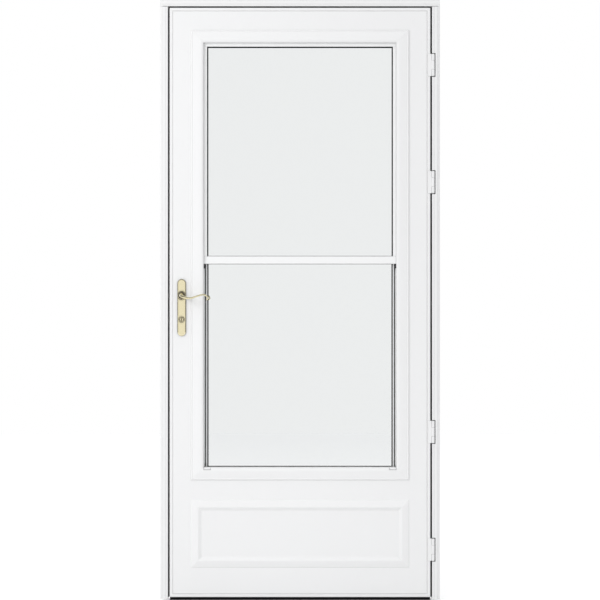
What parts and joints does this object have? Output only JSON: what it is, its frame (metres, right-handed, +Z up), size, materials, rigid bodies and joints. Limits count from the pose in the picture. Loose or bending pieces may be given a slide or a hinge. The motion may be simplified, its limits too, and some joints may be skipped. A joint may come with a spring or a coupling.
{
  "type": "storm door",
  "caption": "White outward-opening storm door in its flanged frame, with a two-track sash window, a moulded kick panel, pin hinges and a wave-shaped brass lever on a long plate.",
  "frame": {"origin": "middle of the back face of the header's flange, the face that lies on the house casing", "axes": "+Z up, -Y outdoors, +X towards the hinges; the latch is at -X"},
  "size_m": [0.956, 0.1436, 2.056],
  "materials": {
    "white_enamel": "smooth satin white baked enamel",
    "black_rubber": "matt black",
    "black_plastic": "moulded, matt",
    "window_glass": "clear float glass",
    "polished_brass": "polished and lacquered",
    "satin_steel": "satin"
  },
  "bodies": {
    "frame": {"latch_jamb": "white_enamel", "hinge_jamb": "white_enamel", "header": "white_enamel", "latch_jamb_cover": "white_enamel", "hinge_jamb_cover": "white_enamel", "header_cover": "white_enamel", "jamb_seals": "black_rubber", "header_seal": "black_rubber", "strike_plate": "satin_steel", "frame_hinge_leaves": "white_enamel", "hinge_pins": "white_enamel"},
    "leaf": {"hinge_edge": "white_enamel", "latch_edge": "white_enamel", "top_edge": "white_enamel", "bottom_edge": "white_enamel", "latch_faceplate": "satin_steel", "latch_bolts": "satin_steel", "hinge_stile": "white_enamel", "latch_stile": "white_enamel", "top_rail": "white_enamel", "kick_panel": "white_enamel", "window_moulding_sides": "white_enamel", "window_moulding_head": "white_enamel", "window_moulding_foot": "white_enamel", "indoor_trim_sides": "white_enamel", "indoor_trim_head": "white_enamel", "indoor_trim_foot": "white_enamel", "side_tracks": "white_enamel", "head_track": "white_enamel", "sill_track": "white_enamel", "upper_sash_rail": "white_enamel", "meeting_rail": "white_enamel", "upper_sash_stiles": "white_enamel", "upper_glass": "window_glass", "lower_sash_top_rail": "white_enamel", "lower_sash_bottom_rail": "white_enamel", "lower_sash_stiles": "white_enamel", "lower_glass": "window_glass", "glazing_seals": "black_rubber", "sash_latches": "white_enamel", "corner_plugs": "white_enamel", "support_clips": "black_plastic", "bottom_sweep": "black_rubber", "door_hinge_leaves": "white_enamel", "outside_escutcheon": "polished_brass", "inside_escutcheon": "polished_brass", "lock_cylinder": "polished_brass", "thumb_turn": "polished_brass"},
    "lever": {"outside_lever": "polished_brass", "inside_lever": "polished_brass", "spindle": "satin_steel"}
  },
  "joints": [
    {"name": "door_swing", "type": "hinge", "parent": "frame", "child": "leaf", "pos_m": [0.455, -0.009, -1.042], "axis": [0, 0, 1], "range_deg": [0, 100]},
    {"name": "lever_turn", "type": "hinge", "parent": "leaf", "child": "lever", "pos_m": [-0.404, 0.008, -1.0015], "axis": [0, 1, 0], "range_deg": [0, 35], "stiffness_Nm_per_rad": 0.6, "springref_deg": -28.65}
  ]
}
